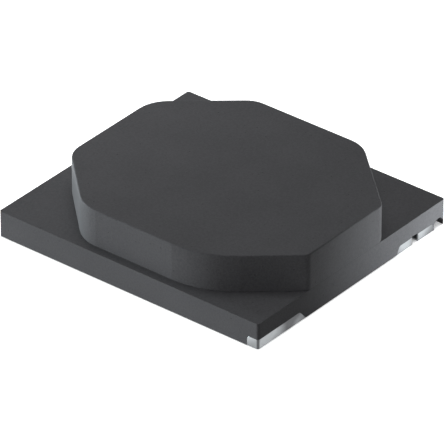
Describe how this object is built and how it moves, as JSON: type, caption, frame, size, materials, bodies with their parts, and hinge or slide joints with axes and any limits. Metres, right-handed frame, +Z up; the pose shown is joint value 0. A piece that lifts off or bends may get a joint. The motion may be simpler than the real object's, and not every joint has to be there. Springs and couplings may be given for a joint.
{
  "type": "shielded smd inductor",
  "caption": "Low-profile shielded surface-mount power inductor: ferrite base with a centre post, octagonal ferrite cap, flat-wound wire and corner solder terminals.",
  "frame": {"origin": "on the board surface, under the middle of the rectangular base plate", "axes": "+X along the plate's longer direction, +Y along its shorter direction, +Z up out of the board"},
  "size_m": [0.0052, 0.0046, 0.0011],
  "materials": {
    "ferrite": "sintered and ground nickel-zinc ferrite, dark grey, satin",
    "ferrite_cap": "sintered and ground nickel-zinc ferrite, dark grey, satin",
    "magnet_wire": "copper seen through amber polyurethane enamel, glossy",
    "tin_plating": "matt electroplated tin over nickel on a fired silver film",
    "solder": "reflowed lead-free solder, smooth, slightly frosted",
    "black_epoxy": "cured black epoxy",
    "clear_epoxy": "cured amber epoxy"
  },
  "bodies": {
    "root": {"ferrite_base": "ferrite", "ferrite_cap": "ferrite_cap", "winding": "magnet_wire", "front_terminal": "tin_plating", "back_terminal": "tin_plating", "right_terminal": "tin_plating", "left_terminal": "tin_plating", "right_solder_joint": "solder", "left_solder_joint": "solder", "cap_adhesive": "black_epoxy", "gap_adhesive": "clear_epoxy", "coil_adhesive": "clear_epoxy"}
  },
  "joints": []
}
